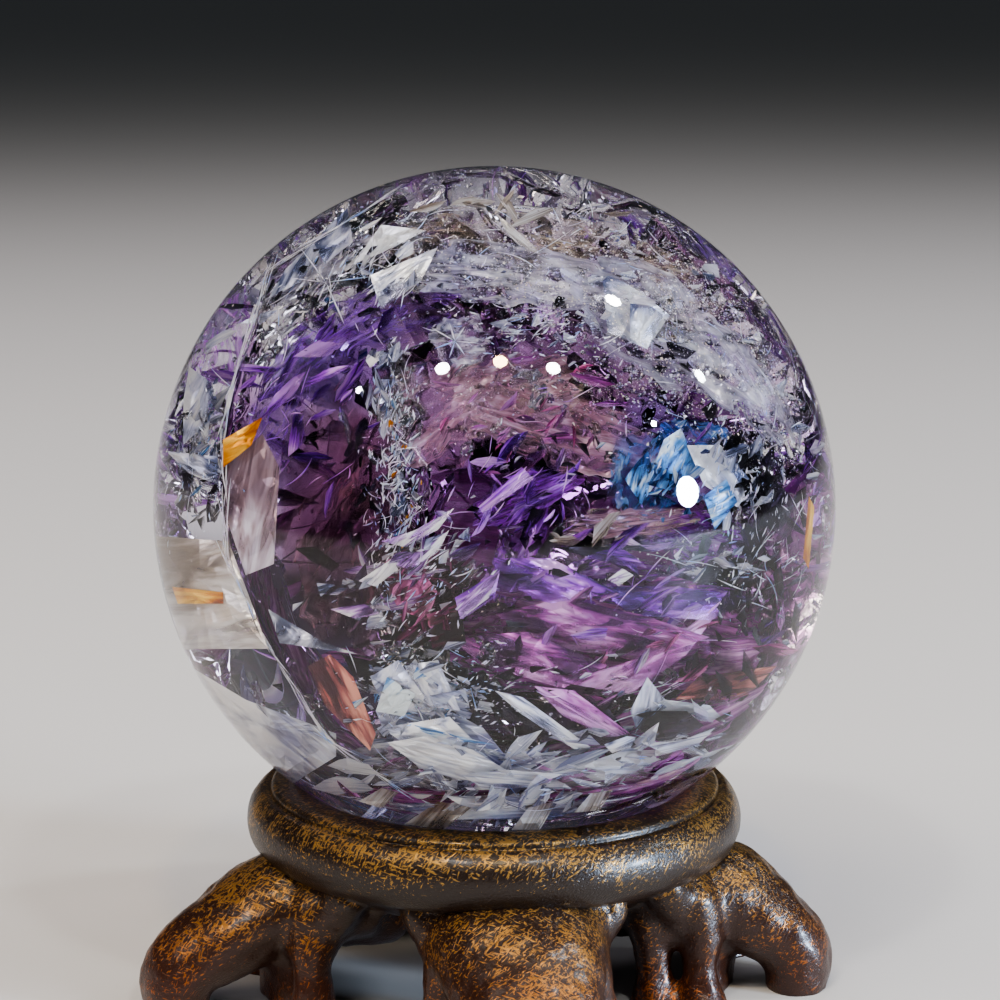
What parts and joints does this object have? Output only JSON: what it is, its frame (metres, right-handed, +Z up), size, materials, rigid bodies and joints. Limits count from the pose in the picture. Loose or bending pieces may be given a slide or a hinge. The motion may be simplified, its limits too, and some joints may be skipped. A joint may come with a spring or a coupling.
{
  "type": "crystal sphere on stand",
  "caption": "Polished ametrine sphere with colour zones and inner fractures, resting in a turned dish on carved wooden roots",
  "frame": {"origin": "middle of the bounding box's foot, on the surface that the stand rests on", "axes": "+Z up through the sphere, +X right, -Y towards the front of the stand"},
  "size_m": [0.0606, 0.0612, 0.0722],
  "materials": {
    "quartz": "polished transparent quartz, violet and amber zones, silvery inner fractures",
    "stand_wood": "carved dark hardwood with short golden flecks, satin lacquer"
  },
  "bodies": {
    "root": {"sphere": "quartz", "stand_dish": "stand_wood", "root_front": "stand_wood", "root_right": "stand_wood", "root_back_right": "stand_wood", "root_back_left": "stand_wood", "root_left": "stand_wood"}
  },
  "joints": []
}
